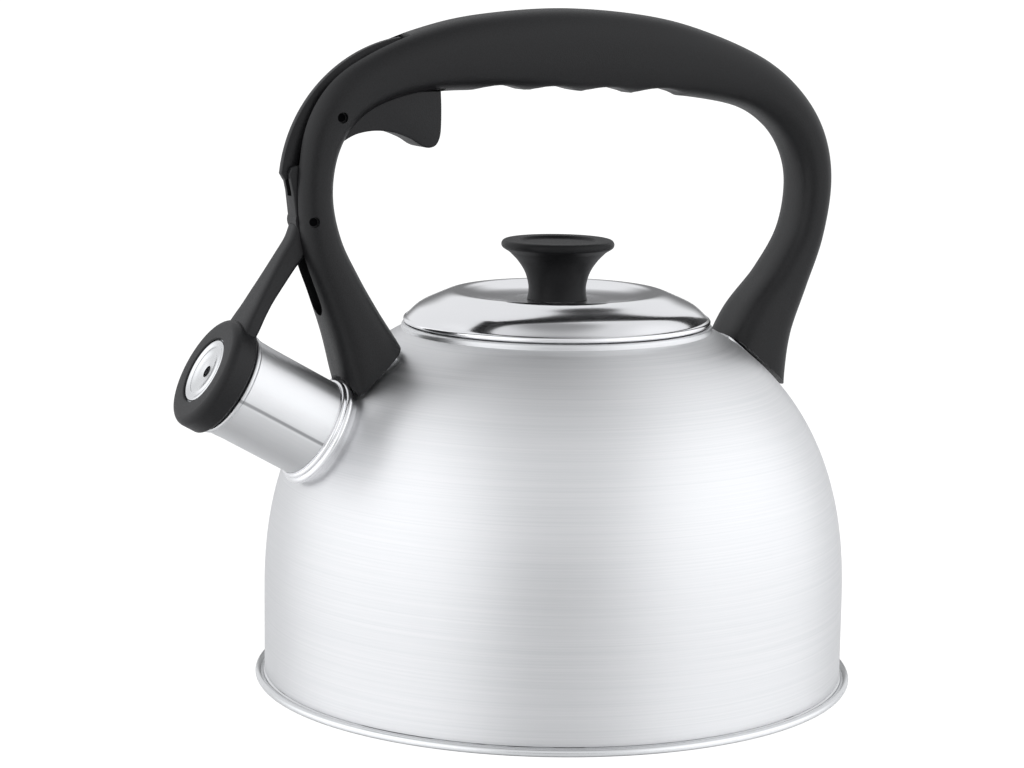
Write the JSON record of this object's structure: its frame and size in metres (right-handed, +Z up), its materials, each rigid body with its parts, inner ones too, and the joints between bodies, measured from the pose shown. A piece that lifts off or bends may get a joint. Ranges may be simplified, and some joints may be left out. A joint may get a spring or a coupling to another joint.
{
  "type": "stovetop whistling kettle",
  "caption": "Domed stainless stovetop kettle with a fixed black arch handle, lift-off lid, short spout and a squeeze trigger that lifts the whistling spout cap.",
  "frame": {"origin": "centre of the base, on the surface the kettle stands on", "axes": "+Z up, the spout points to -X, the handle lies in the XZ plane"},
  "size_m": [0.2562, 0.22, 0.2448],
  "materials": {
    "brushed_stainless": "fine brushed around the axis",
    "polished_stainless": "mirror polished stainless steel",
    "disc_aluminium": "plain",
    "spring_steel": "drawn",
    "black_nylon": "fine moulded grain, soft sheen",
    "silicone": "satin"
  },
  "bodies": {
    "kettle": {"body_shell": "brushed_stainless", "base_pan": "brushed_stainless", "heat_disc": "disc_aluminium", "sole_plate": "brushed_stainless", "spout_collar": "polished_stainless", "spout_tube": "brushed_stainless", "spout_strainer": "brushed_stainless", "front_bracket": "polished_stainless", "rear_bracket": "polished_stainless", "front_roll_pin": "spring_steel", "rear_roll_pin": "spring_steel", "handle": "black_nylon", "trigger_pin": "spring_steel", "cap_pin": "spring_steel", "return_spring": "spring_steel"},
    "lid": {"lid_shell": "polished_stainless", "lid_skirt": "brushed_stainless", "knob_seat": "polished_stainless", "lid_knob": "black_nylon", "knob_washer": "silicone", "knob_screw": "spring_steel"},
    "trigger": {"trigger_lever": "black_nylon"},
    "cap": {"cap_arm": "black_nylon", "cap_seal": "silicone", "whistle_face": "polished_stainless", "whistle_spacer": "polished_stainless", "whistle_back": "polished_stainless"}
  },
  "joints": [
    {"name": "lid_lift", "type": "slide", "parent": "kettle", "child": "lid", "axis": [0, 0, 1], "range_m": [0, 0.045]},
    {"name": "trigger_squeeze", "type": "hinge", "parent": "kettle", "child": "trigger", "pos_m": [-0.0881, 0, 0.2076], "axis": [0, -1, 0], "range_deg": [0, 15], "stiffness_Nm_per_rad": 0.3, "springref_deg": -11.46},
    {"name": "cap_open", "type": "hinge", "parent": "kettle", "child": "cap", "pos_m": [-0.0983, 0, 0.1719], "axis": [0, 1, 0], "range_deg": [0, 22.5]}
  ],
  "couplings": [
    {"joint": "cap_open", "follows": "trigger_squeeze", "ratio": 1.5}
  ]
}
